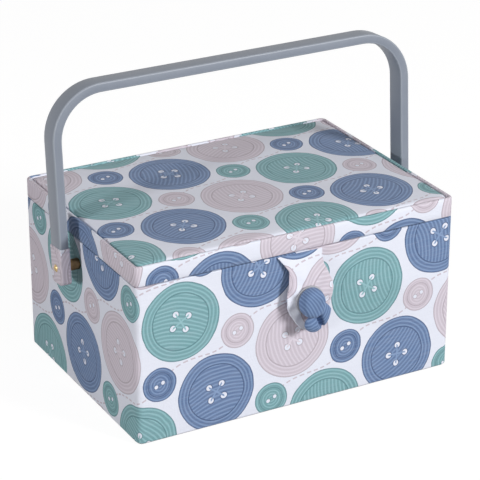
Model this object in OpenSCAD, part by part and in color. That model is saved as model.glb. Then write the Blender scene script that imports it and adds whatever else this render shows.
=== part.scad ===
// Covered sewing box with a hinged lid, a bail handle, a cloth closure and a storage tray.
// Millimetres. The origin is the bottom centre of the box, +Z is up and the front faces -Y.
// Every moving piece is drawn at rest: lid closed, handle up, closure over its button.

/* [Body] */
// Width over the cloth
body_w = 260; // [200:1:360]
// Depth over the cloth
body_d = 187; // [140:1:260]
// Height of the body without its lid
body_h = 122.4; // [90:0.1:200]
// Radius of the four upright corners
corner_r = 5; // [3:0.1:12]
// Thickness of the body boards
board_t = 3; // [2:0.1:5]
// Thickness of the printed cloth
cloth_t = 0.8; // [0.5:0.1:1.5]
// Depth of the hem inside the mouth
hem_in = 12; // [8:0.1:30]
// Width of the hem turned under the base
hem_under = 15; // [8:0.1:30]
// Thickness of the lining
lining_t = 0.6; // [0.4:0.1:1.2]

/* [Lid] */
// Seam between the body and the closed lid
seam_gap = 0.8; // [0.4:0.1:2]
// Height of the lid's skirt
lid_h = 14.8; // [10:0.1:40]
// Thickness of the skirt's card
card_t = 1.6; // [1:0.1:3]
// Thickness of the lid's panel board
panel_t = 3; // [2:0.1:5]
// Depth of the panel board below the rim of the lid
panel_drop = 6; // [4:0.1:10]
// Groove between the rim and the padded panel
groove = 0.5; // [0.3:0.1:2]
// Height of the padded panel's edge over its board
pad_edge = 5; // [3:0.1:8]
// Rise of the padded panel at its middle
pad_crown = 3; // [1:0.1:8]
// Slack between the wadding and its cloth
pad_slack = 0.3; // [0.1:0.1:1]
// Thickness of the board under the panel
lid_lining_t = 1.6; // [1:0.1:3]

/* [Hinges] */
// Distance of each hinge from the middle
hinge_x = 75; // [40:1:110]
// Length of each hinge
hinge_l = 25; // [15:0.5:50]
// Thickness of a leaf
leaf_t = 0.8; // [0.5:0.1:1.5]
// Height of a leaf beside its knuckles
leaf_h = 10; // [8:0.1:11]
// Radius of a knuckle
knuckle_r = 2.2; // [1.8:0.1:3.5]
// Radius of the hinge pin
pin_r = 1; // [0.6:0.1:1.4]
// Axis of the pin behind the back of the body
pin_out = 2.4; // [2.3:0.1:4]
// Radius of a screw's shank
screw_r = 1; // [0.6:0.1:1.4]
// Radius of a screw's head
screw_head_r = 1.9; // [1.5:0.1:3]
// Height of a screw's head
screw_head_h = 0.6; // [0.4:0.1:1]
// Distance of each screw from the middle of its hinge
screw_x = 8; // [5:0.5:20]

/* [Handle] */
// Gap between the side of the body and the cloth on a leg
leg_gap = 9.4; // [4:0.1:20]
// Thickness of the bow
bow_t = 7; // [4:0.1:12]
// Width of the bow's band
bow_w = 16.4; // [10:0.1:30]
// Height of the bow's top over the rivets
bow_h = 133.3; // [80:0.1:220]
// Outer radius of the bow's bends
bow_r = 39.5; // [20:0.5:60]
// Length of a leg below its rivet
leg_below = 11.5; // [8:0.1:30]
// Radius of the corners at a leg's lower end
leg_end_r = 3; // [1:0.1:8]
// Depth of the rivets below the mouth of the body
rivet_drop = 17.9; // [17.2:0.1:60]
// Lean of the standing handle towards the back, in degrees
bow_lean = 3.8; // [0:0.1:10]
// Thickness of the cloth sleeve on a leg
sleeve_t = 0.6; // [0.4:0.1:2]
// Height of the sleeve over the rivet
sleeve_up = 16; // [8:0.1:60]
// Radius of a rivet's shank
rivet_r = 1.8; // [1:0.1:3]
// Radius of a rivet's head
rivet_head_r = 2.9; // [2.5:0.1:6]
// Height of a rivet's head
rivet_head_h = 1.4; // [1:0.1:3]
// Radius of the spacer behind a leg
spacer_r = 4.2; // [3:0.1:9]
// Radius of the washer inside the box
washer_r = 5; // [4:0.1:8]
// Thickness of the washer
washer_t = 1; // [0.5:0.1:2]

/* [Closure] */
// Distance of the button from the middle
button_x = 2.5; // [-20:0.5:20]
// Depth of the button's middle below the mouth of the body
button_drop = 34.4; // [28:0.1:60]
// Radius of the button
button_r = 12; // [8:0.5:20]
// Depth of the button's rim
button_rim = 4.5; // [2:0.1:8]
// Rise of the button's dome
button_dome = 7.5; // [3:0.1:11]
// Radius of the sewn shank
shank_r = 1.8; // [1:0.1:4]
// Length of the sewn shank
shank_l = 9; // [5:0.1:15]
// Thickness of the closure's cloth
loop_t = 1.6; // [0.8:0.1:3]
// Gap between the closure and the back of the button
loop_gap = 0.9; // [0.4:0.1:3]
// Half width of the closure
loop_half = 19; // [12:0.5:30]
// Depth of the closure's tip below the middle of the button
tip_drop = 26.5; // [22:0.5:40]
// Sideways lean of the closure at its tip
loop_shift = 4; // [0:0.5:8]
// Width of the slit for the shank
slit_w = 5; // [4:0.1:10]
// Length of the slit
slit_l = 30; // [24:0.5:40]

/* [Inside] */
// Width of a tray rail
rail_w = 8; // [4:0.1:12]
// Height of a tray rail
rail_h = 8; // [4:0.1:12]
// Depth of the tray's rim below the mouth of the body
tray_drop = 18.4; // [14:0.1:40]
// Gap between the tray and the lining at each side
tray_side = 4.6; // [3:0.1:8]
// Gap between the tray and the lining at front and back
tray_end = 2.1; // [1.5:0.1:6]
// Height of the tray
tray_h = 32; // [20:0.5:36]
// Wall of the tray
tray_wall = 1.6; // [1.2:0.1:3]
// Depth of the front row of compartments
row_front = 75; // [50:1:100]
// Corner radius of the tray
tray_r = 7; // [4:0.1:15]
// Length of the pincushion
cushion_l = 96; // [60:1:110]
// Width of the pincushion and of the pocket
cushion_w = 112; // [60:1:150]
// Edge height of the pincushion
cushion_edge = 4; // [2:0.1:6]
// Rise of the pincushion
cushion_crown = 5; // [2:0.1:6]
// Length of the pocket
pocket_l = 100; // [60:1:110]
// Room inside the pocket
pocket_room = 3.2; // [2:0.1:5]
// Thickness of the elastic's casing
elastic_t = 2.4; // [1:0.1:3]

/* [Fits] */
// Clearance of a pin or rivet in the piece that turns on it
run_fit = 0.05; // [0.01:0.01:0.1]
// Gap beside a leg of the handle, and between knuckles
side_gap = 0.15; // [0.1:0.01:0.5]

/* [Display] */
// Sub-part to show

/* [Hidden] */
$fn = 96;
hw = body_w / 2;
hd = body_d / 2;
bx = hw - cloth_t;
by = hd - cloth_t;
ix = bx - board_t;
iy = by - board_t;
lx = ix - lining_t;
ly = iy - lining_t;
hem_z = 2 * cloth_t;
board_top = body_h - cloth_t;
lid_z0 = body_h + seam_gap;
lid_z1 = lid_z0 + lid_h;
rim_t = 2 * cloth_t + card_t;
px = hw - rim_t;
py = hd - rim_t;
pr = corner_r - rim_t;
panel_z1 = lid_z1 - panel_drop;
bow_half = hw + leg_gap + sleeve_t + bow_t;
rivet_z = body_h - rivet_drop;
button_z = body_h - button_drop;
loop_tip_z = button_z - tip_drop;
tray_z = body_h - tray_drop - tray_h;
panel_z0 = panel_z1 - panel_t;
under_z = panel_z0 - lid_lining_t;
axis_y = hd + pin_out;
axis_z = body_h + seam_gap / 2;
screw_bz = axis_z - knuckle_r - side_gap - leaf_h / 2;
screw_lz = axis_z + knuckle_r + side_gap + leaf_h / 2;
leg_x = bow_half - bow_t / 2;
sleeve_out = bow_half + sleeve_t;
sleeve_in = bow_half - bow_t - sleeve_t;
spacer_end = sleeve_in - side_gap;
head_x = sleeve_out + side_gap;
button_y = -hd - shank_l;
loop_y = button_y + loop_gap + loop_t;
tx = lx - tray_side;
ty = ly - tray_end;
cell_r = tray_r - tray_wall;
cushion_x = -58;
pocket_x = 60;

c_cloth = [0.86, 0.87, 0.93];
c_board = [0.66, 0.58, 0.46];
c_card = [0.75, 0.70, 0.60];
c_lining = [0.88, 0.88, 0.90];
c_grey = [0.50, 0.54, 0.59];
c_brass = [0.78, 0.62, 0.32];
c_steel = [0.72, 0.72, 0.74];
c_foam = [0.93, 0.92, 0.88];
c_tray = [0.93, 0.94, 0.95];
c_blue = [0.40, 0.48, 0.68];

// Helpers
module rflat(w, d, r) {
    square([w - 2 * r, d], center = true);
    square([w, d - 2 * r], center = true);
    for (sx = [-1, 1], sy = [-1, 1])
        translate([sx * (w / 2 - r), sy * (d / 2 - r)]) circle(r);
}

module rblock(w, d, z0, z1, r) {
    translate([0, 0, z0]) linear_extrude(z1 - z0) rflat(w, d, r);
}

module block(w, d, z0, z1) {
    translate([-w / 2, -d / 2, z0]) cube([w, d, z1 - z0]);
}

module rring(hx, hy, z0, z1, r, t) {
    difference() {
        rblock(2 * hx, 2 * hy, z0, z1, r);
        rblock(2 * (hx - t), 2 * (hy - t), z0 - 1, z1 + 1, r - t);
    }
}

// A block whose top rises from its edges to its middle
module crowned(w, d, z0, edge, crown, r) {
    rx = (w * w / 4 + crown * crown) / (2 * crown);
    ry = (d * d / 4 + crown * crown) / (2 * crown);
    intersection() {
        rblock(w, d, z0, z0 + edge + crown + 1, r);
        translate([0, 0, z0 + edge + crown - rx]) rotate([90, 0, 0])
            cylinder(r = rx, h = 2 * d, center = true, $fn = 2880);
        translate([0, 0, z0 + edge + crown - ry]) rotate([0, 90, 0])
            cylinder(r = ry, h = 2 * w, center = true, $fn = 2880);
    }
}

// A rod along X between two places, on the side s
module xrod(s, x0, x1, z, r) {
    translate([s < 0 ? -x1 : x0, 0, z]) rotate([0, 90, 0]) cylinder(r = r, h = x1 - x0);
}

module rivet_bores() {
    for (s = [-1, 1]) xrod(s, lx - 1, hw + 1, rivet_z, rivet_r);
}

module screw_bores(z) {
    for (s = [-1, 1], k = [-1, 1])
        translate([s * hinge_x + k * screw_x, hd + 2, z]) rotate([90, 0, 0])
            cylinder(r = screw_r, h = 2 + cloth_t + card_t);
}

// Body
module board_block() {
    rblock(2 * bx, 2 * by, hem_z, board_top, corner_r - cloth_t);
}

module front_board() {
    color(c_board) intersection() {
        board_block();
        translate([-hw, -by, 0]) cube([body_w, board_t, body_h]);
    }
}

module back_board() {
    color(c_board) difference() {
        intersection() {
            board_block();
            translate([-hw, iy, 0]) cube([body_w, board_t, body_h]);
        }
        screw_bores(screw_bz);
    }
}

module side_board(s) {
    color(c_board) difference() {
        intersection() {
            board_block();
            translate([s < 0 ? -bx : ix, -iy, hem_z]) cube([board_t, 2 * iy, board_top - hem_z]);
        }
        rivet_bores();
    }
}

module left_board() { side_board(-1); }

module right_board() { side_board(1); }

module base_board() {
    color(c_board) block(2 * ix, 2 * iy, hem_z, hem_z + board_t);
}

module body_cover() {
    color(c_cloth) difference() {
        union() {
            rring(hw, hd, cloth_t, body_h, corner_r, cloth_t);
            difference() {
                rblock(body_w, body_d, cloth_t, hem_z, corner_r);
                block(body_w - 2 * hem_under, body_d - 2 * hem_under, 0, hem_z + 1);
            }
            difference() {
                rblock(body_w, body_d, board_top, body_h, corner_r);
                block(2 * (ix - cloth_t), 2 * (iy - cloth_t), board_top - 1, body_h + 1);
            }
            difference() {
                block(2 * ix, 2 * iy, body_h - hem_in, body_h);
                block(2 * (ix - cloth_t), 2 * (iy - cloth_t), body_h - hem_in - 1, body_h + 1);
            }
        }
        rivet_bores();
        screw_bores(screw_bz);
    }
}

module base_cover() {
    color(c_card) rblock(body_w - 4, body_d - 4, 0, cloth_t, corner_r - 2);
}

module body_lining() {
    color(c_lining) difference() {
        block(2 * ix, 2 * iy, hem_z + board_t, body_h - hem_in);
        block(2 * lx, 2 * ly, hem_z + board_t + lining_t, body_h);
        rivet_bores();
    }
}

module rail(s) {
    color(c_lining) translate([s < 0 ? -lx : lx - rail_w, -ly + 10, tray_z - rail_h])
        cube([rail_w, 2 * ly - 20, rail_h]);
}

module tray_rail_left() { rail(-1); }

module tray_rail_right() { rail(1); }

// Hinges
module knuckle(x0, x1) {
    translate([x0, axis_y, axis_z]) rotate([0, 90, 0]) cylinder(r = knuckle_r, h = x1 - x0);
}

module leaf_body(s) {
    third = hinge_l / 3;
    color(c_brass) difference() {
        translate([s * hinge_x, 0, 0]) union() {
            translate([-hinge_l / 2, hd, axis_z - knuckle_r - side_gap - leaf_h])
                cube([hinge_l, leaf_t, leaf_h]);
            for (x0 = [-hinge_l / 2, third / 2 + side_gap]) {
                knuckle(x0, x0 + third - side_gap);
                translate([x0, hd, axis_z - knuckle_r - side_gap - 1])
                    cube([third - side_gap, leaf_t, knuckle_r + side_gap + 1]);
            }
        }
        translate([0, axis_y, axis_z]) rotate([0, 90, 0])
            cylinder(r = pin_r, h = body_w, center = true);
        screw_bores(screw_bz);
    }
}

module hinge_leaf_body_left() { leaf_body(-1); }

module hinge_leaf_body_right() { leaf_body(1); }

module leaf_lid(s) {
    third = hinge_l / 3;
    color(c_brass) difference() {
        translate([s * hinge_x, 0, 0]) union() {
            translate([-hinge_l / 2, hd, axis_z + knuckle_r + side_gap])
                cube([hinge_l, leaf_t, leaf_h]);
            knuckle(-third / 2, third / 2);
            translate([-third / 2, hd, axis_z]) cube([third, leaf_t, knuckle_r + side_gap + 1]);
        }
        translate([0, axis_y, axis_z]) rotate([0, 90, 0])
            cylinder(r = pin_r + run_fit, h = body_w, center = true);
        screw_bores(screw_lz);
    }
}

module hinge_leaf_lid_left() { leaf_lid(-1); }

module hinge_leaf_lid_right() { leaf_lid(1); }

module pin(s) {
    color(c_brass) translate([s * hinge_x - hinge_l / 2 - 0.5, axis_y, axis_z])
        rotate([0, 90, 0]) cylinder(r = pin_r, h = hinge_l + 1);
}

module hinge_pin_left() { pin(-1); }

module hinge_pin_right() { pin(1); }

module screws(z) {
    color(c_brass) for (s = [-1, 1], k = [-1, 1])
        translate([s * hinge_x + k * screw_x, 0, z]) rotate([90, 0, 0]) {
            translate([0, 0, -hd - leaf_t]) cylinder(r = screw_r, h = leaf_t + cloth_t + card_t);
            translate([0, 0, -hd - leaf_t - screw_head_h])
                cylinder(r = screw_head_r, h = screw_head_h);
        }
}

module hinge_screws_body() { screws(screw_bz); }

module hinge_screws_lid() { screws(screw_lz); }

// Rivets
module rivet(s) {
    cap = (rivet_head_r * rivet_head_r + rivet_head_h * rivet_head_h) / (2 * rivet_head_h);
    color(c_brass) union() {
        xrod(s, lx - washer_t - 0.6, head_x, rivet_z, rivet_r);
        xrod(s, lx - washer_t - 0.6, lx - washer_t, rivet_z, rivet_r + 1);
        intersection() {
            xrod(s, head_x, head_x + rivet_head_h, rivet_z, rivet_head_r);
            translate([s * (head_x + rivet_head_h - cap), 0, rivet_z]) sphere(cap);
        }
    }
}

module rivet_left() { rivet(-1); }

module rivet_right() { mirror([1, 0, 0]) rivet(-1); }

module spacer(s) {
    color(c_brass) difference() {
        xrod(s, hw, spacer_end, rivet_z, spacer_r);
        xrod(s, hw - 1, spacer_end + 1, rivet_z, rivet_r);
    }
}

module spacer_left() { spacer(-1); }

module spacer_right() { spacer(1); }

module washer(s) {
    color(c_brass) difference() {
        xrod(s, lx - washer_t, lx, rivet_z, washer_r);
        xrod(s, lx - washer_t - 1, lx + 1, rivet_z, rivet_r);
    }
}

module rivet_washer_left() { washer(-1); }

module rivet_washer_right() { washer(1); }

// Button
module button_shell() {
    cap = (button_r * button_r + button_dome * button_dome) / (2 * button_dome);
    color(c_blue) translate([button_x, button_y, button_z]) rotate([90, 0, 0]) difference() {
        union() {
            cylinder(r = button_r, h = button_rim);
            translate([0, 0, button_rim]) intersection() {
                cylinder(r = button_r, h = button_dome);
                translate([0, 0, button_dome - cap]) sphere(cap);
            }
        }
        translate([0, 0, -1]) cylinder(r = button_r - 1, h = 2.2);
    }
}

module button_back() {
    color(c_steel) translate([button_x, button_y, button_z]) rotate([90, 0, 0])
        cylinder(r = button_r - 1, h = 1.2);
}

module button_shank() {
    color(c_lining) translate([button_x, -hd, button_z]) rotate([90, 0, 0])
        cylinder(r = shank_r, h = shank_l);
}

// Lid
module lid_skirt_frame() {
    color(c_card) difference() {
        rring(hw - cloth_t, hd - cloth_t, lid_z0 + cloth_t, lid_z1 - cloth_t, corner_r - cloth_t,
            card_t);
        screw_bores(screw_lz);
    }
}

module lid_skirt_cover() {
    color(c_cloth) difference() {
        rring(hw, hd, lid_z0, lid_z1, corner_r, rim_t);
        rring(hw - cloth_t, hd - cloth_t, lid_z0 + cloth_t, lid_z1 - cloth_t, corner_r - cloth_t,
            card_t);
        screw_bores(screw_lz);
    }
}

module lid_panel_board() {
    color(c_board) rblock(2 * px, 2 * py, panel_z0, panel_z1, pr);
}

module lid_pad() {
    t = groove + cloth_t + pad_slack;
    color(c_foam) crowned(2 * (px - t), 2 * (py - t), panel_z1, pad_edge - cloth_t - pad_slack,
        pad_crown, pr - t + 0.8);
}

module lid_top_cover() {
    t = groove + cloth_t;
    color(c_cloth) difference() {
        crowned(2 * (px - groove), 2 * (py - groove), panel_z1, pad_edge, pad_crown, pr - groove + 0.8);
        crowned(2 * (px - t), 2 * (py - t), panel_z1, pad_edge - cloth_t, pad_crown, pr - t + 0.8);
    }
}

module lid_lining() {
    color(c_lining) rblock(2 * px, 2 * py, under_z, panel_z0, pr);
}

module pincushion() {
    color(c_blue) translate([cushion_x, 0, under_z]) mirror([0, 0, 1])
        crowned(cushion_l, cushion_w, 0, cushion_edge, cushion_crown, 6);
}

module lid_pocket() {
    color(c_cloth) translate([pocket_x, 0, under_z]) mirror([0, 0, 1]) difference() {
        crowned(pocket_l, cushion_w, 0, pocket_room + cloth_t, 1.5, 4);
        translate([0, -cushion_w / 2, 0])
            block(pocket_l - 2 * cloth_t, 2 * (cushion_w - cloth_t), -1, pocket_room);
    }
}

module pocket_elastic() {
    color(c_blue) translate([pocket_x - pocket_l / 2, -cushion_w / 2 - elastic_t, under_z - pocket_room
        - cloth_t]) cube([pocket_l, elastic_t, pocket_room + cloth_t]);
}

// Handle
module bow_flat(h, t, r) {
    translate([-h, -leg_below]) square([2 * h, leg_below + bow_h - t - r]);
    translate([-h + r, 0]) square([2 * (h - r), bow_h - t]);
    for (s = [-1, 1]) translate([s * (h - r), bow_h - t - r]) circle(r);
}

module at_rivet() {
    translate([0, 0, rivet_z]) rotate([-bow_lean, 0, 0]) children();
}

// The side view of a leg up to a height, enlarged all round by g
module leg_side(g, top) {
    r = leg_end_r + g;
    half = bow_w / 2 + g;
    low = -leg_below - g;
    for (s = [-1, 1]) translate([s * (half - r), low + r]) circle(r);
    translate([-half + r, low]) square([2 * (half - r), r + 0.5]);
    translate([-half, low + r]) square([2 * half, top - low - r]);
}

module handle_bow() {
    color(c_grey) at_rivet() difference() {
        intersection() {
            rotate([90, 0, 0]) linear_extrude(bow_w, center = true) difference() {
                bow_flat(bow_half, 0, bow_r);
                translate([0, -0.01]) bow_flat(bow_half - bow_t, bow_t - 0.01, bow_r - bow_t);
                translate([-bow_half + bow_t, -leg_below - 1])
                    square([2 * (bow_half - bow_t), leg_below]);
            }
            rotate([90, 0, 90]) linear_extrude(3 * body_w, center = true) leg_side(0, bow_h + 1);
        }
        rotate([0, 90, 0]) cylinder(r = rivet_r + run_fit, h = 3 * body_w, center = true);
    }
}

module sleeve(s) {
    color(c_cloth) at_rivet() difference() {
        translate([s * leg_x, 0, 0]) rotate([90, 0, 90])
            linear_extrude(bow_t + 2 * sleeve_t, center = true) leg_side(sleeve_t, sleeve_up);
        translate([s * leg_x, 0, 0]) rotate([90, 0, 90])
            linear_extrude(bow_t, center = true) leg_side(0, sleeve_up + 1);
        rotate([0, 90, 0]) cylinder(r = rivet_r + run_fit, h = 3 * body_w, center = true);
    }
}

module handle_sleeve_left() { sleeve(-1); }

module handle_sleeve_right() { sleeve(1); }

// Closure
module closure_loop() {
    tip = loop_tip_z;
    front = loop_y - loop_t;
    rear = loop_y;
    face = -hd;
    top = lid_z0;
    over = button_z + 1.15 * button_r;
    under = button_z - 0.65 * button_r;
    knee = tip + 0.65 * button_r;
    color(c_cloth) difference() {
        intersection() {
            rotate([90, 0, 90]) linear_extrude(4 * loop_half, center = true) polygon([
                [face + 4, top], [face - 0.7, top], [face - 2.3, top - 2],
                [front + 1.6, top - 11], [front, over], [front, under],
                [front - 0.8, knee], [front - 2.4, tip], [rear - 0.8, tip - 0.6],
                [rear + 0.8, knee], [rear, under], [rear, over], [rear + 1.8, top - 11],
                [face - 0.9, top - 3], [face - 0.5, top - seam_gap + 0.2],
                [face + 4, top - seam_gap + 0.2]]);
            rotate([90, 0, 0]) linear_extrude(body_d) polygon([
                [-loop_half, top + 2], [-loop_half + 0.5, top - 9], [loop_shift - loop_half, over],
                [loop_shift - loop_half, under + 4], [loop_shift - 0.62 * loop_half, knee + 1],
                [loop_shift - 0.28 * loop_half, tip + 1.6], [loop_shift, tip - 1],
                [loop_shift + 0.28 * loop_half, tip + 1.6], [loop_shift + 0.62 * loop_half, knee + 1],
                [loop_shift + loop_half, under + 4], [loop_shift + loop_half, over],
                [loop_half + 0.5, top - 9], [loop_half, top + 2]]);
        }
        translate([button_x, 0, button_z]) rotate([90, 0, 0]) linear_extrude(body_d) {
            translate([-slit_w / 2, -slit_l / 2]) square([slit_w, slit_l]);
            for (s = [-1, 1]) translate([0, s * slit_l / 2]) circle(slit_w / 2);
        }
    }
}

// Tray
module storage_tray() {
    z0 = tray_z + tray_wall;
    w = 2 * (tx - tray_wall);
    back = 2 * (ty - tray_wall) - row_front - tray_wall;
    cf = (w - 2 * tray_wall) / 3;
    cb = (w - tray_wall) / 2;
    color(c_tray) difference() {
        rblock(2 * tx, 2 * ty, tray_z, tray_z + tray_h, tray_r);
        for (i = [-1, 0, 1]) translate([i * (cf + tray_wall), -ty + tray_wall + row_front / 2, 0])
            rblock(cf, row_front, z0, z0 + tray_h, cell_r);
        for (i = [-1, 1]) translate([i * (cb + tray_wall) / 2, ty - tray_wall - back / 2, 0])
            rblock(cb, back, z0, z0 + tray_h, cell_r);
    }
}

front_board();
back_board();
left_board();
right_board();
base_board();
body_cover();
base_cover();
body_lining();
tray_rail_left();
tray_rail_right();
hinge_leaf_body_left();
hinge_leaf_body_right();
hinge_pin_left();
hinge_pin_right();
hinge_screws_body();
rivet_left();
rivet_right();
spacer_left();
spacer_right();
rivet_washer_left();
rivet_washer_right();
button_shell();
button_back();
button_shank();
lid_skirt_frame();
lid_skirt_cover();
lid_panel_board();
lid_pad();
lid_top_cover();
lid_lining();
pincushion();
lid_pocket();
pocket_elastic();
hinge_leaf_lid_left();
hinge_leaf_lid_right();
hinge_screws_lid();
handle_bow();
handle_sleeve_left();
handle_sleeve_right();
closure_loop();
storage_tray();
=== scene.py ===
import math
import bmesh
import bpy
from mathutils import Matrix, Vector, noise


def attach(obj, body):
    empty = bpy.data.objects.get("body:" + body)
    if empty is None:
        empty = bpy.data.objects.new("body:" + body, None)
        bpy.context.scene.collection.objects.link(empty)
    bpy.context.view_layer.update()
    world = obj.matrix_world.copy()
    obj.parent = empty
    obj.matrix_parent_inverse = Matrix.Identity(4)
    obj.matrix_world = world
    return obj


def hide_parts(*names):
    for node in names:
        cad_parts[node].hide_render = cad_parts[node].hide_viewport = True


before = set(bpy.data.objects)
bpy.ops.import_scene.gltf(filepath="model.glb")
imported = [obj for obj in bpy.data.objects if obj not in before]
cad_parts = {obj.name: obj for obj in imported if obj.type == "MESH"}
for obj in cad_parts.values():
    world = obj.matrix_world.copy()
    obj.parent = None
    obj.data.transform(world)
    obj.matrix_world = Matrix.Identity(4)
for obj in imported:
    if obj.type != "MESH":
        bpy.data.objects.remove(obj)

bpy.ops.object.select_all(action="DESELECT")
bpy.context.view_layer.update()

# Sizes of the box, in metres
HALF_W, HALF_D = 0.130, 0.0935
BODY_TOP = 0.1224
LID_LOW, LID_TOP = 0.1232, 0.138
CORNER = 0.005
RIM = 0.0032
RIM_INSIDE = 0.128
PANEL_TOP = 0.132
UNDER_LID = 0.1274
RIVET_Z = 0.1045
LEAN = math.radians(3.8)
BUTTON = Vector((0.0025, -0.1025, 0.088))

# Colours are written as linear values
GROUND = (0.79, 0.82, 0.92)
TEAL, TEAL_LIGHT, TEAL_DARK = (0.175, 0.355, 0.385), (0.295, 0.525, 0.565), (0.12, 0.265, 0.29)
BLUE, BLUE_LIGHT, BLUE_DARK = (0.118, 0.188, 0.345), (0.23, 0.335, 0.54), (0.075, 0.125, 0.245)
PINK, PINK_LIGHT, PINK_DARK = (0.60, 0.54, 0.61), (0.72, 0.665, 0.74), (0.48, 0.42, 0.48)

# A full turn, as the waves of the prints count it, and the pitch of the threads of the cloth
FULL_TURN = 6.283
THREAD_PITCH = 0.0009


# Shader maths
class Value:
    """A socket that takes part in plain arithmetic."""

    def __init__(self, finish, socket):
        self.finish, self.socket = finish, socket

    def math(self, operation, *others):
        return self.finish.node("Math", [self, *others], operation=operation)

    def __add__(self, other):
        return self.math("ADD", other)

    def __sub__(self, other):
        return self.math("SUBTRACT", other)

    def __rsub__(self, other):
        return self.finish.node("Math", [other, self], operation="SUBTRACT")

    def __mul__(self, other):
        return self.math("MULTIPLY", other)

    def __truediv__(self, other):
        return self.math("DIVIDE", other)

    def __rtruediv__(self, other):
        return self.finish.node("Math", [other, self], operation="DIVIDE")

    __radd__, __rmul__ = __add__, __mul__

    def __lt__(self, other):
        return self.math("LESS_THAN", other)

    def __gt__(self, other):
        return self.math("GREATER_THAN", other)

    def sin(self):
        return self.math("SINE")

    def cos(self):
        return self.math("COSINE")

    def abs(self):
        return self.math("ABSOLUTE")

    def root(self):
        return self.math("SQRT")

    def fract(self):
        return self.math("FRACT")

    def floor(self):
        return self.math("FLOOR")

    def smooth(self, low, high):
        return self.finish.node("MapRange", {"Value": self, "From Min": low, "From Max": high},
                                interpolation_type="SMOOTHSTEP")


class Finish:
    """A material, or the light of the world, made of nodes."""

    def __init__(self, name, kept_in=bpy.data.materials):
        self.made = kept_in.new(name)
        self.made.use_nodes = True
        self.tree = self.made.node_tree
        self.tree.nodes.clear()

    def node(self, kind, inputs=(), out=0, stops=(), **settings):
        """Adds a node with its settings and then its inputs, by name or in order, and gives an output."""
        made = self.tree.nodes.new("ShaderNode" + kind)
        for name, value in settings.items():
            setattr(made, name, value)
        if stops:
            ramp = made.color_ramp
            ramp.interpolation = "CONSTANT"
            while len(ramp.elements) < len(stops):
                ramp.elements.new(0.5)
            for stop, (place, colour) in zip(ramp.elements, stops):
                stop.position, stop.color = place, (*colour, 1)
        for name, value in inputs.items() if isinstance(inputs, dict) else enumerate(inputs):
            socket = made.inputs[name]
            if isinstance(value, Value):
                self.tree.links.new(value.socket, socket)
            elif hasattr(value, "__len__") and len(socket.default_value) == 4 and len(value) == 3:
                socket.default_value = (*value, 1)
            else:
                socket.default_value = value
        return Value(self, made.outputs[out]) if made.outputs else None

    def blend(self, amount, first, second):
        """The first colour where the amount is 0, the second where it is 1."""
        return self.node("Mix", {0: amount, 6: first, 7: second}, out=2, data_type="RGBA")

    def rays(self, *kinds):
        """Masks of the rays of each kind."""
        return [self.node("LightPath", out=f"Is {kind} Ray") for kind in kinds]

    def parts(self, vector):
        first = self.node("SeparateXYZ", [vector])
        return [Value(self, socket) for socket in first.socket.node.outputs]

    def noise(self, vector, scale, detail):
        return self.node("TexNoise", {"Vector": vector, "Scale": scale, "Detail": detail})

    def stretched(self, vector, scale):
        return self.node("Mapping", {"Vector": vector, "Scale": scale})

    def chart(self, name):
        return self.node("UVMap", uv_map=name)

    def object_place(self):
        return self.node("TexCoord", out="Object")

    def bump(self, height, distance, strength):
        return self.node("Bump", {"Height": height, "Distance": distance, "Strength": strength})

    def surface(self, **inputs):
        names = {"color": "Base Color", "rough": "Roughness", "metal": "Metallic", "normal": "Normal",
                 "sheen": "Sheen Weight", "sheen_rough": "Sheen Roughness", "specular": "Specular IOR Level"}
        return self.end(self.node("BsdfPrincipled", {names[k]: v for k, v in inputs.items()}))

    def end(self, shader, kind="Material"):
        self.node("Output" + kind, {"Surface": shader})
        return self.made


# Finishes
def weave(u, v, pitch):
    """Height of a plain weave with threads a pitch apart."""
    turn = 2 * math.pi / pitch
    return ((u * turn).sin() * (v * turn).sin()) * 0.5 + 0.5


def waves(across, pitch, wander=0.0):
    """Waves a pitch apart, from -1 to 1, that wander by an angle."""
    return (across * (FULL_TURN / pitch) + wander).sin()


def cotton(f, colour, line, height, depth, strength):
    """Ends a finish as printed cotton, a little smoother along its printed lines."""
    return f.surface(color=colour, rough=0.86 - line * 0.04, sheen=0.12, sheen_rough=0.5, specular=0.25,
                     normal=f.bump(height, depth, strength))


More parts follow.
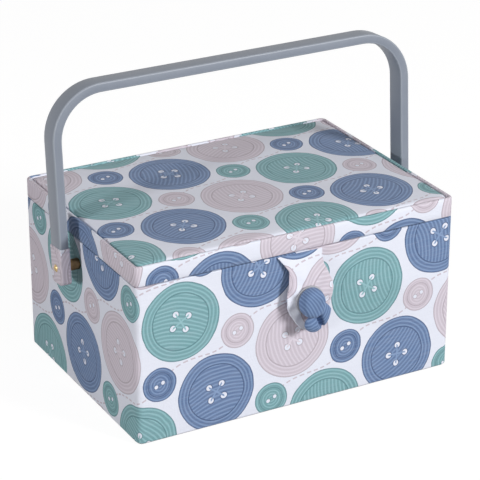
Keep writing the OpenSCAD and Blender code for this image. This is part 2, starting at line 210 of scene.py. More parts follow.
def button_print():
    """Sewing buttons in three colours on pale cotton, with running stitches between them."""
    f = Finish("button print cotton")
    cloth = f.chart("Cloth")
    u, v, _ = f.parts(cloth)
    shake, sway, fine = f.noise(cloth, 55, 2.5), f.noise(cloth, 26, 1.0), f.noise(cloth, 900, 1.0)

    # A slanted grid that wavers: large buttons at its whole steps, small ones at its half steps
    pitch, slant = 0.068, math.radians(24)
    x = u + (shake - 0.5) * 0.0022
    y = v + (sway - 0.5) * 0.0030
    a = (x * math.cos(slant) + y * math.sin(slant)) / pitch
    b = (y * math.cos(slant) - x * math.sin(slant)) / pitch
    whole = a.math("ROUND"), b.math("ROUND")
    half = a.floor() + 0.5, b.floor() + 0.5

    def from_middle(i, j):
        """The way from the middle of a button along the grid, across it, and straight."""
        p, q = (a - i) * pitch, (b - j) * pitch
        return p, q, (p * p + q * q).root()

    def tones(i, j, shift):
        """The middle, light and dark tone of a button, which change from step to step."""
        kind = (i - j + shift).math("FLOORED_MODULO", 3) / 3 + 0.1
        return [f.node("ValToRGB", [kind], stops=list(zip((0, 0.33, 0.66), row))) for row in (
            (TEAL, BLUE, PINK), (TEAL_LIGHT, BLUE_LIGHT, PINK_LIGHT), (TEAL_DARK, BLUE_DARK, PINK_DARK))]

    def outside_hole(along, across, gap, size):
        """How far a point lies outside the nearest hole of a button."""
        along = along.abs() - gap
        return (along * along + across * across).root() - size

    def lay_button(under, tint, dark, away, hole, radius, edge, ring, ring_line, hole_line):
        """Lays a button over the print, with its edge, its ring and the rims of its holes darker."""
        tint = f.blend((away > edge) + ((away - ring).abs() < ring_line), tint, dark)
        tint = f.blend(hole < hole_line, tint, dark)
        tint = f.blend(hole < 0, tint, GROUND)
        return f.blend(away < radius, under, tint)

    # Running stitches between the rows of buttons
    run = ((b - half[1]) * pitch + (a * FULL_TURN).sin() * 0.004).abs()
    stitch, stitch_share, stitch_width = 0.0056, 0.62, 0.0006
    dash = (run < stitch_width) * ((a * (pitch / stitch)).fract() < stitch_share)
    colour = f.blend(dash, GROUND, PINK)

    # Small buttons with two holes
    p, q, away = from_middle(*half)
    base, light, dark = tones(*half, 1)
    line = waves(away, 0.0024, shake * 5).smooth(-0.3, 0.9)
    colour = lay_button(colour, f.blend(line * 0.85, base, light), dark, away,
                        outside_hole(p, q, 0.0030, 0.0015),
                        radius=0.0132, edge=0.0126, ring=0.0092, ring_line=0.0004, hole_line=0.0005)

    # Large buttons with four holes, crossed thread and strands, each turned another way
    p, q, away = from_middle(*whole)
    base, light, dark = tones(*whole, 0)
    spin = ((whole[0] * 12.9 + whole[1] * 78.2 + 3.1).sin() * 437.5).fract() * FULL_TURN
    along = p * spin.cos() - q * spin.sin()
    across = p * spin.sin() + q * spin.cos()
    ring, gap = 0.0220, 0.0052
    rim = away > ring
    strand = waves(across + along * along * 9.0, 0.0031, sway * 6)
    line = (strand * (1 - rim) + waves(away, 0.0029, shake * 4) * rim).smooth(-0.4, 0.9)
    tint = f.blend((fine - 0.5).abs() * 0.5, f.blend(line * 0.85, base, light), light)
    colour = lay_button(colour, tint, dark, away, outside_hole(along, across.abs() - gap, gap, 0.0023),
                        radius=0.0305, edge=0.0298, ring=ring, ring_line=0.0005, hole_line=0.0007)
    thread = 0.0009
    cross = ((along - across).abs() < thread) + ((along + across).abs() < thread)
    colour = f.blend(cross * (along.abs() < 0.0054), colour, light)

    # Weave, slubs and the soft unevenness of glued cotton
    slub = f.noise(f.stretched(cloth, (60, 900, 1)), 1.0, 1.0)
    colour = f.blend((slub - 0.40) * 0.30, colour, (0.60, 0.62, 0.72))
    height = weave(u, v, THREAD_PITCH) * 0.25 + slub * 0.5
    height = height + f.noise(cloth, 30, 1.5) * 6.0 + f.noise(cloth, 700, 1.0)
    return cotton(f, colour, line, height, 0.00017, 0.8)


def covering_cloth():
    """Blue strands on the cloth that covers the button, finer than those of the print."""
    f = Finish("button covering cotton")
    cloth = f.chart("Cloth")
    u, v, _ = f.parts(cloth)
    sway, fine = f.noise(cloth, 60, 1.0), f.noise(cloth, 900, 1.0)
    strand = waves(v + u * u * 14 + sway * 0.003, 0.0021).smooth(-0.4, 0.9)
    tint = f.blend(strand * 0.75, BLUE, BLUE_LIGHT)
    tint = f.blend((fine - 0.5).abs() * 0.5, tint, BLUE_DARK)
    return cotton(f, tint, strand, weave(u, v, THREAD_PITCH) * 0.25 + fine * 0.5, 0.00012, 0.6)


def plain_cloth(name, colour, second, pitch=0.0011):
    """Undyed or piece-dyed cotton without a print."""
    f = Finish(name)
    place = f.object_place()
    x, y, z = f.parts(place)
    thread = weave(x + z * 0.7, y + z * 0.7, pitch)
    soft = f.noise(place, 45, 3)
    return f.surface(color=f.blend(soft * 0.7 + thread * 0.3, colour, second), rough=0.9 - soft * 0.06,
                     sheen=0.15, specular=0.2, normal=f.bump(thread + soft * 3, 0.00015, 0.6))


def moulded(name, colour, second, rough, edge=None):
    """Moulded plastic with a faint grain, and a painted highlight: paler along the edges that the map Edges
    marks.
    """
    f = Finish(name)
    place = f.object_place()
    cloud, pits = f.noise(place, 28, 3), f.noise(place, 1900, 1)
    tint = f.blend(cloud.smooth(0.25, 0.75), colour, second)
    # Painted highlight: the marked bevels take the paler edge colour, as if they caught the light
    if edge:
        highlight_mask, _, _ = f.parts(f.chart("Edges"))
        tint = f.blend(highlight_mask, tint, edge)
    return f.surface(color=tint, rough=rough + pits * 0.10 + cloud * 0.05,
                     specular=0.45, normal=f.bump(pits + cloud, 0.00003, 0.5))


def brassy(name, colour, tarnish):
    """Plated brass with fine scratches and a little tarnish."""
    f = Finish(name)
    place = f.object_place()
    cloud = f.noise(place, 240, 3)
    scratch = f.noise(f.stretched(place, (260, 2600, 900)), 1.0, 2)
    return f.surface(color=f.blend(cloud.smooth(0.3, 0.8), colour, tarnish), metal=0.9 + cloud * 0.1,
                     rough=0.26 + scratch * 0.22, normal=f.bump(scratch + cloud, 0.00002, 0.5))


def pressed_board(name, colour, second):
    """Grey board, seen only where no cloth covers it."""
    f = Finish(name)
    fibre = f.noise(f.stretched(f.object_place(), (400, 120, 700)), 1.0, 3)
    return f.surface(color=f.blend(fibre, colour, second), rough=0.92 - fibre * 0.05,
                     normal=f.bump(fibre, 0.0001, 0.6))


PRINT = button_print()
COVER = covering_cloth()
LINING = plain_cloth("pale lining cotton", (0.66, 0.67, 0.74), (0.76, 0.77, 0.83))
CUSHION = plain_cloth("blue cushion cotton", (0.10, 0.17, 0.37), (0.17, 0.26, 0.48))
BASE_CLOTH = plain_cloth("backing cloth", (0.60, 0.60, 0.62), (0.70, 0.70, 0.72))
THREAD = plain_cloth("shank thread", (0.62, 0.63, 0.68), (0.75, 0.76, 0.80), 0.0006)
# The handle's edge colour is a painted highlight along the bevels of its bar
HANDLE = moulded("grey handle plastic", (0.203, 0.231, 0.282), (0.228, 0.256, 0.308), 0.36,
                 edge=(0.285, 0.318, 0.37))
TRAY = moulded("white tray plastic", (0.72, 0.74, 0.77), (0.78, 0.79, 0.82), 0.30)
STEEL = moulded("pressed metal", (0.42, 0.42, 0.44), (0.52, 0.52, 0.54), 0.35)
BRASS = brassy("satin brass", (0.50, 0.37, 0.18), (0.33, 0.24, 0.12))
# Painted shade: a darker copy of the brass for the spacers, which sit in shade between the handle and the
# box
SHADED_BRASS = brassy("brass with painted shade", (0.20, 0.13, 0.065), (0.12, 0.08, 0.04))
BOARD = pressed_board("grey board", (0.30, 0.25, 0.19), (0.38, 0.32, 0.25))


# Modelling helpers
def add(kind, name, **size):
    """Adds a primitive round the world's origin."""
    bpy.ops.object.select_all(action="DESELECT")
    getattr(bpy.ops.mesh, f"primitive_{kind}_add")(**size)
    piece = bpy.context.object
    piece.name = piece.data.name = name
    return piece


def take_up(piece):
    """Makes a piece the one that the next steps work on."""
    bpy.context.view_layer.objects.active = piece
    piece.select_set(True)


def begin(piece):
    """Opens a piece for shaping, with all of its vertices selected."""
    take_up(piece)
    bpy.ops.object.mode_set(mode="EDIT")
    bpy.ops.mesh.select_mode(type="VERT")
    bpy.ops.mesh.select_all(action="SELECT")


def end():
    bpy.ops.object.mode_set(mode="OBJECT")


def begin_block(name, low, high):
    """A cube brought to its two corners, and open for shaping."""
    piece = add("cube", name, size=1)
    begin(piece)
    bpy.ops.transform.resize(value=[h - l for l, h in zip(low, high)])
    bpy.ops.transform.translate(value=[(h + l) / 2 for l, h in zip(low, high)])
    return piece


def pick(piece, kind, test):
    """Selects the edges or faces that pass the test."""
    bpy.ops.mesh.select_mode(type=kind)
    bpy.ops.mesh.select_all(action="DESELECT")
    mesh = bmesh.from_edit_mesh(piece.data)
    for part in {"EDGE": mesh.edges, "FACE": mesh.faces}[kind]:
        if test(part):
            part.select_set(True)
    bmesh.update_edit_mesh(piece.data)


def push(*move):
    bpy.ops.mesh.extrude_region_move(TRANSFORM_OT_translate={"value": move})


def modify(piece, kind, **settings):
    """Adds a modifier and applies it."""
    made = piece.modifiers.new(kind.title(), kind)
    for name, value in settings.items():
        setattr(made, name, value)
    take_up(piece)
    bpy.ops.object.modifier_apply(modifier=made.name)


def shape(piece, move):
    """Moves each vertex of a finished mesh by a rule."""
    for vertex in piece.data.vertices:
        vertex.co = move(vertex.co.copy())
    piece.data.update()


def close(piece, material, slot, body, *stands_for, smooth):
    """Gives the piece its finish, its body and the nodes that it stands for."""
    take_up(piece)
    bpy.ops.object.shade_smooth_by_angle(angle=math.radians(smooth))
    piece.data.materials.clear()
    piece.data.materials.append(material)
    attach(piece, body)
    if stands_for:
        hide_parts(*stands_for)
    bpy.ops.object.select_all(action="DESELECT")


def outline(half_x, half_y, radius, z, centre=(0, 0), arc=6, rows=(22, 16)):
    """The points of a rounded rectangle, from the front left corner round to it again."""
    radius = min(radius, 0.96 * half_x, 0.96 * half_y)

    def on_corner(k, i):
        sx, sy = ((-1, -1), (1, -1), (1, 1), (-1, 1))[k % 4]
        turn = math.radians(180 + 90 * k + 90 * i / arc)
        middle = Vector((sx * (half_x - radius), sy * (half_y - radius)))
        return middle + radius * Vector((math.cos(turn), math.sin(turn)))

    points = []
    for k in range(4):
        points += [on_corner(k, i) for i in range(arc + 1)]
        start, stop, count = points[-1], on_corner(k + 1, 0), rows[k % 2]
        points += [start.lerp(stop, i / count) for i in range(1, count)]
    return [Vector((p.x + centre[0], p.y + centre[1], z)) for p in points]


def loft(name, rings, cap=False):
    """A circle is added, brought to the first outline and extruded to each of the others."""
    piece = add("circle", name, vertices=len(rings[0]), fill_type="NOTHING")
    begin(piece)
    mesh = bmesh.from_edit_mesh(piece.data)
    for vertex, place in zip(mesh.verts, rings[0]):
        vertex.co = place
    order = {i: i for i in range(len(rings[0]))}
    for ring in rings[1:]:
        push(0, 0, 0)
        mesh = bmesh.from_edit_mesh(piece.data)
        mesh.verts.index_update()
        for vertex in [v for v in mesh.verts if v.select]:
            below = next(e.other_vert(vertex) for e in vertex.link_edges if not e.other_vert(vertex).select)
            order[vertex.index] = order[below.index]
            vertex.co = ring[order[vertex.index]]
        bmesh.update_edit_mesh(piece.data)
    bpy.ops.mesh.select_all(action="SELECT")
    bpy.ops.mesh.remove_doubles(threshold=0.000002)
    if cap:
        bpy.ops.mesh.fill_holes(sides=0)
    bpy.ops.mesh.normals_make_consistent(inside=False)
    end()
    return piece


def box_loft(name, steps):
    """A loft round the box, by inset, radius of the corners and height."""
    return loft(name, [outline(HALF_W - inset, HALF_D - inset, radius, z) for inset, radius, z in steps])


def lay_cloth(piece, rule, chart_name="Cloth"):
    """Writes the cloth's own measure, in metres, as the UV map of the print."""
    mesh = piece.data
    chart = mesh.uv_layers.get(chart_name) or mesh.uv_layers.new(name=chart_name)
    for face in mesh.polygons:
        for corner in face.loop_indices:
            at = mesh.vertices[mesh.loops[corner].vertex_index].co
            chart.data[corner].uv = rule(at, face.normal, face.center)
    chart.active = chart.active_render = True


def round_the_box(shift_u, shift_v):
    """The print runs round the four sides without a break but for the back left corner."""
    def rule(at, normal, centre):
        x, y = centre.x, centre.y
        side_in, end_in = HALF_W - abs(x), HALF_D - abs(y)
        level = abs(normal.z) > 0.5
        inward = min(HALF_W - abs(at.x), HALF_D - abs(at.y)) if level else 0
        if end_in < side_in and y < 0:
            u = at.x + HALF_W
            if not level:
                u += (at.y + HALF_D) * (1 if at.x > 0 else -1)
        elif end_in < side_in:
            u = 3 * HALF_W + 2 * HALF_D - at.x
            u -= 0 if level else (HALF_D - at.y) * (1 if at.x > 0 else -1)
        elif x > 0:
            u = 2 * HALF_W + at.y + HALF_D
            u -= 0 if level else (HALF_W - at.x) * (1 if at.y < 0 else -1)
        else:
            u = -(at.y + HALF_D)
            u += 0 if level else (at.x + HALF_W) * (1 if at.y < 0 else -1)
        return u + shift_u, at.z + (inward if normal.z > 0.5 else -inward) + shift_v
    return rule


# The cloth of the body, with its hems inside the mouth and under the base
skin = box_loft("body_cloth", [
    (0.015, 0.002, 0.0009), (0.002, 0.004, 0.0009), (0.0007, 0.0045, 0.0011), (0.0001, CORNER, 0.0017),
    *[(0, CORNER, 0.0025 + i * 0.0119) for i in range(11)],
    (0, CORNER, BODY_TOP - 0.0005), (0.0002, 0.0048, BODY_TOP - 0.0001), (0.0006, 0.0044, BODY_TOP),
    (0.0038, 0.0018, BODY_TOP), (0.0045, 0.0012, BODY_TOP - 0.0005), (0.0046, 0.0010, BODY_TOP - 0.012)])
modify(skin, "SOLIDIFY", thickness=0.0007, offset=-1)
lay_cloth(skin, round_the_box(0.0, 0.0))
close(skin, PRINT, "printed_cloth", "box", "body_cover", smooth=50)

# The lid's rim: a card frame wrapped in cloth
rim = box_loft("lid_rim", [
    (RIM, 0.0018, RIM_INSIDE), (RIM, 0.0018, LID_LOW + 0.0006), (RIM - 0.0006, 0.0024, LID_LOW),
    (0.0006, 0.0044, LID_LOW), (0.0002, 0.0048, LID_LOW + 0.0002), (0, CORNER, LID_LOW + 0.0006),
    (0, CORNER, LID_LOW + 0.0050), (0, CORNER, LID_TOP - 0.0050), (0, CORNER, LID_TOP - 0.0013),
    (0.0003, 0.0047, LID_TOP - 0.0005), (0.0010, 0.0040, LID_TOP), (RIM - 0.0012, 0.0030, LID_TOP),
    (RIM - 0.0004, 0.0022, LID_TOP - 0.0004), (RIM, 0.0018, LID_TOP - 0.0012),
    (RIM, 0.0018, PANEL_TOP), (RIM, 0.0018, RIM_INSIDE)])
lay_cloth(rim, round_the_box(0.031, 0.012))
close(rim, PRINT, "printed_cloth", "lid", "lid_skirt_cover", smooth=50)

# The padded panel of the lid
PAD_INSET = RIM + 0.0005
PAD_X, PAD_Y = HALF_W - PAD_INSET, HALF_D - PAD_INSET
PAD_SEAM = 0.030


def pad_ring(inset, rise):
    return outline(PAD_X - inset, PAD_Y - inset, 0.003 + inset * 0.45, PANEL_TOP + rise)


def swell(at):
    """The wadding fills out over the first centimetres from the seam."""
    inside = [max(0.0, min(1.0, (half - abs(c)) / PAD_SEAM)) for half, c in ((PAD_X, at.x), (PAD_Y, at.y))]
    full = math.sin(inside[0] * math.pi / 2) * math.sin(inside[1] * math.pi / 2)
    if at.z > PANEL_TOP + 0.0038:
        at.z += full * 0.0014 + noise.noise(Vector((at.x * 22, at.y * 22, 0.5))) * 0.0003 * full
    return at


def over_pad(at, normal, centre):
    """The print lies flat on top and runs down the edges of the panel."""
    return at.x + 0.131, at.y + 0.075 + (0 if abs(normal.z) > 0.4 else at.z - 0.137)


pad = loft("lid_padding", [
    pad_ring(0.002, 0), pad_ring(0, 0.0004), pad_ring(0, 0.0035),
    pad_ring(0.0003, 0.0046), pad_ring(0.0010, 0.0054), pad_ring(0.0022, 0.0058),
    *[pad_ring(0.004 + 0.0027 * i + 0.00026 * i * i, 0.006) for i in range(14)]], cap=True)
shape(pad, swell)
lay_cloth(pad, over_pad)
close(pad, PRINT, "printed_cloth", "lid", "lid_top_cover", "lid_pad", smooth=60)

# The handle: one flat bar that bends down into two legs, narrower at their ends
BAR_T, BAR_W, HALF_BOW, BOW_H, BEND, LEG = 0.007, 0.0164, 0.147, 0.1333, 0.0395, 0.0115
FIRST_RISE = 0.02


def upright(edge):
    a, b = (v.co for v in edge.verts)
    return abs(a.z - b.z) > 0.9 * (a - b).length


def bend_over(x):
    bpy.ops.mesh.spin(steps=18, angle=math.radians(-90), center=(x, 0, BOW_H - BEND), axis=(0, 1, 0))


bow = begin_block("handle_bar", (-HALF_BOW, -BAR_W / 2, -LEG), (-HALF_BOW + BAR_T, BAR_W / 2, 0))
pick(bow, "EDGE", upright)
bpy.ops.mesh.bevel(offset=0.0011, offset_type="OFFSET", segments=3, affect="EDGES")
pick(bow, "FACE", lambda face: face.normal.z > 0.9)
push(0, 0, FIRST_RISE)
push(0, 0, BOW_H - BEND - FIRST_RISE)
bend_over(-HALF_BOW + BEND)
for _ in range(8):
    push((HALF_BOW - BEND) / 4, 0, 0)
bend_over(HALF_BOW - BEND)
push(0, 0, -(BOW_H - BEND - FIRST_RISE))
push(0, 0, -FIRST_RISE)
push(0, 0, -LEG)
bpy.ops.mesh.select_all(action="SELECT")
bpy.ops.mesh.remove_doubles(threshold=0.00001)
bpy.ops.mesh.normals_make_consistent(inside=False)
end()
shape(bow, lambda at: Vector((at.x, at.y * (0.6 if at.z < -0.5 * LEG else 1), at.z)))
# The map Edges marks the bevels of the bar, where the handle plastic paints its highlight
lay_cloth(bow, lambda at, normal, centre: (1.0 if 0.2 < abs(normal.y) < 0.97 else 0.0, 0.5), "Edges")
lean = Matrix.Translation((0, 0, RIVET_Z)) @ Matrix.Rotation(-LEAN, 4, "X")
bow.data.transform(lean)
close(bow, HANDLE, "handle_plastic", "handle", "handle_bow", smooth=60)

# Cloth wrapped round the ends of the handle, turned in at the top and closed below
WRAP_X, WRAP_Y, WRAP_END, WRAP_TOP = 0.0041, 0.0088, 0.0036, 0.016
WRAP_FOOT = -LEG - 0.0006
WRAP_SIDES = ((0, -0.002), (0, 0.006), (0, 0.0126), (0.0003, 0.0130), (0.0003, 0.0133),
              (-0.0001, 0.0137), (-0.0001, 0.0154), (0.0003, 0.0159), (0.0007, WRAP_TOP))


def wrap_ring(middle_x, inset, z, narrower=0.0):
    return outline(WRAP_X - inset, WRAP_Y - inset - narrower, 0.0012, z, (middle_x, 0), arc=3, rows=(5, 8))


def round_the_bar(middle_x):
    """The print turns from the flat of the bar over its edges."""
    def rule(at, normal, centre):
        return at.y + (0 if abs(normal.x) > 0.5 else at.x - middle_x) - 0.0417, at.z + 0.0661
    return rule


for side, name in ((-1, "left"), (1, "right")):
    at_x = side * (HALF_BOW - BAR_T / 2)
    rings = [wrap_ring(at_x, 0.0012, WRAP_FOOT, WRAP_END - 0.0012)]
    for i in range(1, 8):
        turn = math.pi / 2 * i / 7
        still = 1 - math.sin(turn)
        rings.append(wrap_ring(at_x, 0.0006 * still ** 2, WRAP_FOOT + WRAP_END * (1 - math.cos(turn)),
                               WRAP_END * still))
    rings += [wrap_ring(at_x, *step) for step in WRAP_SIDES]
    wrap = loft("handle_cloth_" + name, rings, cap=True)
    lay_cloth(wrap, round_the_bar(at_x))
    wrap.data.transform(lean)
    close(wrap, PRINT, "printed_cloth", "handle", "handle_sleeve_" + name, smooth=50)

# The covered button: a domed front, with the cloth gathered into two folds below and beside it
SIDE_FOLD, LOWER_FOLD = (0.0076, -0.0102), (0.0004, -0.0168)
OPENING, OPENING_SLANT, OPENING_WIDTH = (0.0052, -0.0154), -0.35, 0.0019


def covered(name, segments, into_place, middle_at, angle, *stands_for):
    """Turns a ball into a piece of the cloth, placed from the button's middle, sideways and up."""
    ball = add("uv_sphere", name, segments=segments, ring_count=segments // 2, radius=1)
    shape(ball, into_place)
    begin(ball)
    bpy.ops.mesh.normals_make_consistent(inside=False)
    end()
    turn = Matrix.Rotation(angle, 2)
    lay_cloth(ball, lambda at, normal, centre: turn @ Vector(
        (at.x - BUTTON.x - middle_at[0], at.z - BUTTON.z - middle_at[1])))
    close(ball, COVER, "button_cloth", "box", *stands_for, smooth=60)


def button_form(at):
    """A flat dome, pulled in at its sides, with a round edge and a gathered back."""
    turn = math.atan2(at.y, at.x)
    height = min(at.z, 1.0)
    pleat = 1 + 0.010 * math.sin(turn * 11) * max(0, 0.6 - abs(height))
    pleat -= 0.06 * max(0, math.cos(turn + 0.2)) ** 4
    if height > 0:
        dent = math.exp(-((at.x * 0.8 - at.y * 0.6 - 0.35) / 0.18) ** 2)
        depth = 0.0045 + 0.0075 * (1 - (1 - height) ** 2.2) - 0.0007 * dent * height
    else:
        depth = 0.0045 + 0.0045 * max(height * 1.6, -1)
    return Vector((BUTTON.x - 0.0006 + at.x * 0.0098 * pleat, BUTTON.y - depth,
                   BUTTON.z + at.y * 0.0112 * pleat))


def fold_form(reach, lean, centre, depth, pleats, corner, length, sunk):
    """A flattened lobe with shallow pleats, that sinks in where the opening between the folds is."""
    def rule(at):
        ripple = 1 + 0.06 * math.sin(at.x * pleats + 0.6) * (1 - abs(at.y))
        across = at.x * reach[0] * (1 - corner * abs(at.y))
        along = at.y * reach[1] * (1 - corner * abs(at.x))
        x = centre[0] + across * math.cos(lean) - along * math.sin(lean)
        z = centre[1] + across * math.sin(lean) + along * math.cos(lean)
        out = depth[0] + at.z * depth[1] * ripple
        if at.z > 0:
            beside = x - OPENING[0] - (z - OPENING[1]) * OPENING_SLANT
            beyond = abs(z - OPENING[1]) / length
            out -= sunk * math.exp(-(beside / OPENING_WIDTH) ** 2) * max(0, 1 - beyond ** 3)
        return Vector((BUTTON.x + x, BUTTON.y - out, BUTTON.z + z))
    return rule


side_form = fold_form(reach=(0.0080, 0.0110), lean=math.radians(14), centre=SIDE_FOLD,
                      depth=(0.0042, 0.0032), pleats=7, corner=0.22, length=0.0062, sunk=0.0054)
lower_form = fold_form(reach=(0.0072, 0.0062), lean=math.radians(-12), centre=LOWER_FOLD,
                       depth=(0.0058, 0.0042), pleats=9, corner=0.0, length=0.0046, sunk=0.0082)
covered("covered_button", 56, button_form, (0, 0), 1.05, "button_shell")
covered("button_side_fold", 80, side_form, SIDE_FOLD, 2.2)
covered("button_lower_fold", 80, lower_form, LOWER_FOLD, 2.7)

# The closure: a cloth tab, pulled in at the top, that widens round the button and closes below it
TAB_TOP, TAB_TIP, TAB_GAP = 0.1224, 0.0613, 0.0009
SLIT_HALF, SLIT_LOW, SLIT_HIGH = 0.0024, -0.0165, 0.0085
TAB_EDGES = ((0.00, -0.0196, 0.0172), (0.10, -0.0150, 0.0172), (0.19, -0.0113, 0.0180),
             (0.30, -0.0122, 0.0216), (0.42, -0.0138, 0.0246), (0.50, -0.0144, 0.0252),
             (0.62, -0.0146, 0.0238), (0.74, -0.0112, 0.0212), (0.86, -0.0064, 0.0180),
             (0.95, -0.0018, 0.0140), (1.00, 0.0030, 0.0100))


def tab_edges(down):
    """Left and right edge of the tab at a share of its length."""
    for low, high in zip(TAB_EDGES, TAB_EDGES[1:]):
        if down <= high[0] + 1e-9:
            share = (down - low[0]) / (high[0] - low[0])
            return [a + (b - a) * share for a, b in zip(low[1:], high[1:])]
    return TAB_EDGES[-1][1:]


def tab_form(at):
    """at.x runs over the width and at.y down the length, from -0.5 to 0.5."""
    down = 0.5 - at.y
    z = TAB_TOP + (TAB_TIP - TAB_TOP) * down
    left, right = tab_edges(down)
    x = left + (right - left) * (at.x + 0.5)

    # It stands out over the button and falls back at its tip and its two sides
    out = TAB_GAP + 0.0067 * math.sin(min(1, down * 1.9) * math.pi / 2)
    out -= 0.0042 * (max(0, down - 0.55) / 0.45) ** 1.4
    out -= 0.0034 * max(0, at.x / 0.5) ** 1.5 * math.sin(math.pi * min(1, down * 1.15))
    out -= 0.0010 * max(0, -at.x / 0.5 - 0.6) / 0.4 * math.sin(math.pi * down)

    # Pleats run out from the button, and a crease runs down the right side
    away = math.hypot(x - BUTTON.x, z - BUTTON.z)
    turn = math.atan2(z - BUTTON.z, x - BUTTON.x)
    out += 0.0006 * math.sin(turn * 8 + 0.7) * math.exp(-((away - 0.015) / 0.007) ** 2)
    crease = (x - 0.0155) - (TAB_TOP - z) * 0.28
    out -= 0.0007 * math.exp(-(crease / 0.0012) ** 2) * math.sin(math.pi * min(1, down * 1.6))
    return Vector((x, -HALF_D - max(out, TAB_GAP), z))


def in_slit(face):
    at = face.calc_center_median()
    return abs(at.x - BUTTON.x) < SLIT_HALF and SLIT_LOW < at.z - BUTTON.z < SLIT_HIGH


tab = add("grid", "closure_tab", x_subdivisions=30, y_subdivisions=54, size=1)
shape(tab, tab_form)
lay_cloth(tab, lambda at, normal, centre: (at.x + 0.0155, at.z + 0.155))
begin(tab)
pick(tab, "FACE", in_slit)
bpy.ops.mesh.delete(type="FACE")
end()
modify(tab, "SOLIDIFY", thickness=0.0014, offset=0)
modify(tab, "SUBSURF", levels=1, render_levels=1)
close(tab, PRINT, "printed_cloth", "closure", "closure_loop", smooth=60)

# The pincushion under the lid, tufted at six places
CUSHION_AT, CUSHION_X, CUSHION_Y = -0.058, 0.048, 0.056
TUFTS = [(x, y) for x in (-0.022, 0.022) for y in (-0.032, 0, 0.032)]


def cushion_ring(inset, drop):
    return outline(CUSHION_X - inset, CUSHION_Y - inset, 0.007 + inset * 0.3, UNDER_LID - drop,
                   (CUSHION_AT, 0), rows=(20, 24))


def tuft(at):
    """Fills the cushion out and draws it in at its tufts."""
    if at.z < UNDER_LID - 0.004:
        inside_x = min((CUSHION_X - abs(at.x - CUSHION_AT)) / 0.03, 1)
        inside_y = min((CUSHION_Y - abs(at.y)) / 0.03, 1)
        at.z -= 0.0036 * math.sin(inside_x * math.pi / 2) * math.sin(inside_y * math.pi / 2)
        for x, y in TUFTS:
            away = math.hypot(at.x - CUSHION_AT - x, at.y - y)
            at.z += 0.0034 * math.exp(-(away / 0.0065) ** 2)
    return at


pins = loft("pincushion_pad", [
    cushion_ring(0.004, 0), cushion_ring(0.0006, 0.0002), cushion_ring(0, 0.0014),
    cushion_ring(0.0006, 0.0030), cushion_ring(0.0022, 0.0044),
    *[cushion_ring(0.004 + 0.0026 * i, 0.0052) for i in range(17)]], cap=True)
shape(pins, tuft)
close(pins, CUSHION, "cushion_cloth", "lid", "pincushion", smooth=70)

# The pocket under the lid: a gathered sheet, open towards the front, with elastic along its mouth
POCKET_AT, POCKET_W, POCKET_D, GATHERS = 0.060, 0.0996, 0.1116, 15
BAND_HALF, BAND_FRONT, BAND_BACK, BAND_H, BAND_GATHERS = 0.05, -0.0584, -0.056, 0.004, 1900


def gather(at):
    """at.x runs across the pocket and at.y from its mouth to its back, from -0.5 to 0.5."""
    full = (0.5 - at.y) ** 0.6
    side = min(1, (0.5 - abs(at.x)) / 0.12)
    sway = noise.noise(Vector((at.x * 9, at.y * 2, 3)))
    fold = math.sin(at.x * 2 * math.pi * GATHERS + sway * 4)
    hang = 0.0007 + (0.0026 * full * math.sin(side * math.pi / 2)) + 0.0012 * fold * full * side
    return Vector((POCKET_AT + at.x * POCKET_W + 0.0007 * fold * side, at.y * POCKET_D,
                   UNDER_LID - max(hang, 0.0004)))


def ruffle(at):
    """Small gathers along the front and the underside of the elastic."""
    y = 0.00035 * math.sin(at.x * BAND_GATHERS) if at.y < -0.057 else 0
    z = 0.0003 * math.sin(at.x * BAND_GATHERS + 1) if at.z < UNDER_LID - 0.001 else 0
    return Vector((at.x, at.y + y, at.z + z))


pocket = add("grid", "gathered_pocket", x_subdivisions=150, y_subdivisions=28, size=1)
shape(pocket, gather)
modify(pocket, "SOLIDIFY", thickness=0.0005, offset=0)
close(pocket, LINING, "lining_cloth", "lid", "lid_pocket", smooth=70)

band = begin_block("elastic_band", (POCKET_AT - BAND_HALF, BAND_FRONT, UNDER_LID - BAND_H),
                   (POCKET_AT + BAND_HALF, BAND_BACK, UNDER_LID))
for i in range(1, 60):
    bpy.ops.mesh.select_all(action="SELECT")
    bpy.ops.mesh.bisect(plane_co=(POCKET_AT - BAND_HALF + i / 600, 0, 0), plane_no=(1, 0, 0))
end()
shape(band, ruffle)
modify(band, "BEVEL", width=0.0004, segments=2, limit_method="ANGLE", angle_limit=math.radians(50))
close(band, CUSHION, "cushion_cloth", "lid", "pocket_elastic", smooth=50)


# Pieces that take the exact form of their node, with softened edges
def softened(name, node, width, material, slot, body, segments=2):
    bpy.ops.object.select_all(action="DESELECT")
    piece = bpy.data.objects.new(name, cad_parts[node].data.copy())
    bpy.context.scene.collection.objects.link(piece)
    begin(piece)
    bpy.ops.mesh.remove_doubles(threshold=0.000005)
    bpy.ops.mesh.dissolve_limited(angle_limit=math.radians(0.5))
    end()
    modify(piece, "BEVEL", width=width, segments=segments, limit_method="ANGLE",
           angle_limit=math.radians(40))
    close(piece, material, slot, body, node, smooth=40)


softened("compartment_tray", "storage_tray", 0.0005, TRAY, "tray_plastic", "tray", 3)
for side in ("left", "right"):
    softened("body_leaf_" + side, "hinge_leaf_body_" + side, 0.00015, BRASS, "brass", "box")
    softened("lid_leaf_" + side, "hinge_leaf_lid_" + side, 0.00015, BRASS, "brass", "lid")
    # The spacers take the darker brass, which is painted shade
    softened("spacer_disc_" + side, "spacer_" + side, 0.0005, SHADED_BRASS, "brass", "box")

# Finishes of the nodes that keep their own shape
dress = {
    BOARD: ("front_board", "back_board", "left_board", "right_board", "base_board", "lid_skirt_frame",
            "lid_panel_board"),
    BASE_CLOTH: ("base_cover",),
    LINING: ("body_lining", "tray_rail_left", "tray_rail_right", "lid_lining"),
    BRASS: ("hinge_pin_left", "hinge_pin_right", "hinge_screws_body", "rivet_left", "rivet_right",
            "rivet_washer_left", "rivet_washer_right", "hinge_screws_lid"),
    STEEL: ("button_back",),
    THREAD: ("button_shank",),
}
for finish, names in dress.items():
    for name in names:
        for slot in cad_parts[name].material_slots:
            slot.material = finish


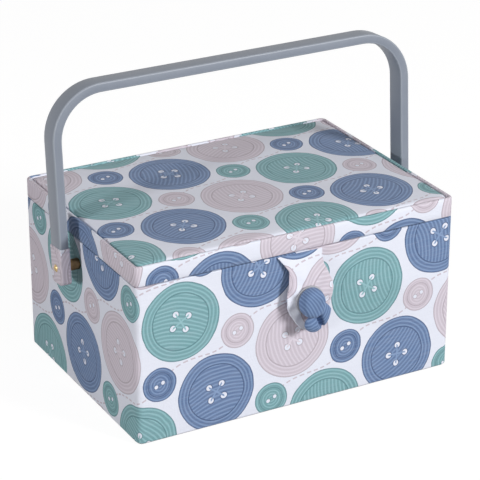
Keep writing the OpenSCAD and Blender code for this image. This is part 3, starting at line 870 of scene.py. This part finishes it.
# Floor and backdrop
def pale_ground(name):
    """White to the camera and in reflections, with the box's soft shadow kept, and grey to other light."""
    f = Finish(name)
    to_camera, mirrored, through = f.rays("Camera", "Glossy", "Transmission")
    white = f.node("Emission", {"Color": (1.0, 1.0, 1.0), "Strength": 1.08})
    pale = f.node("BsdfDiffuse", {"Color": (0.90, 0.90, 0.90)})
    shadowed = f.node("MixShader", {0: 0.86, 1: pale, 2: white})
    plain = f.node("BsdfDiffuse", {"Color": (0.28, 0.27, 0.27)})
    seen = (to_camera + mirrored + through).math("MINIMUM", 1.0)
    return f.end(f.node("MixShader", {0: seen, 1: plain, 2: shadowed}))


def pale_air(name):
    """White to the camera and in reflections, and a weak warm light on the box."""
    f = Finish(name, bpy.data.worlds)
    to_camera, mirrored = f.rays("Camera", "Glossy")
    white = f.node("Background", {"Color": (1, 1, 1), "Strength": 1.0})
    soft = f.node("Background", {"Color": (1.0, 0.94, 0.91), "Strength": 0.19})
    seen = to_camera.math("MAXIMUM", mirrored)
    return f.end(f.node("MixShader", {0: seen, 1: soft, 2: white}), "World")


ground = add("plane", "studio_floor", size=7)
ground.data.materials.append(pale_ground("studio floor"))
bpy.context.scene.world = pale_air("studio light")


# Lamps
def lamp(name, place, aim, power, size):
    light = bpy.data.lights.new(name, "AREA")
    light.energy, light.size = power, size
    made = bpy.data.objects.new(name, light)
    bpy.context.scene.collection.objects.link(made)
    made.location = place
    made.rotation_euler = (Vector(aim) - Vector(place)).to_track_quat("-Z", "Y").to_euler()


lamp("key", (1.25, -2.35, 1.20), (0, 0, 0.09), 64, 0.62)
lamp("fill", (-0.70, -2.30, 0.95), (0, 0, 0.09), 7, 1.2)
lamp("side", (-1.65, -0.45, 0.52), (-0.1, 0, 0.09), 11.5, 0.2)
lamp("top", (0.1, 0.2, 1.9), (0, 0, 0.10), 2.4, 1.3)

# Camera, as the photograph was taken: its two angles, its lens, and its way sideways, up and back
AZIMUTH, ELEVATION = math.radians(-28.69), math.radians(24.19)
LENS, SENSOR = 158.6, 36
SIDEWAYS, UPWARDS, DISTANCE = 0.0021, 0.0864, 1.6203
back = Vector((math.sin(AZIMUTH) * math.cos(ELEVATION), -math.cos(AZIMUTH) * math.cos(ELEVATION),
               math.sin(ELEVATION)))
right = Vector((0, 0, 1)).cross(back).normalized()
up = back.cross(right)
eye = bpy.data.cameras.new("camera")
eye.lens, eye.sensor_width = LENS, SENSOR
camera = bpy.data.objects.new("camera", eye)
bpy.context.scene.collection.objects.link(camera)
turned = Matrix((right, up, back)).transposed().to_4x4()
camera.matrix_world = Matrix.Translation(right * SIDEWAYS + up * UPWARDS + back * DISTANCE) @ turned
bpy.context.scene.camera = camera
bpy.context.scene.view_settings.view_transform = "Standard"
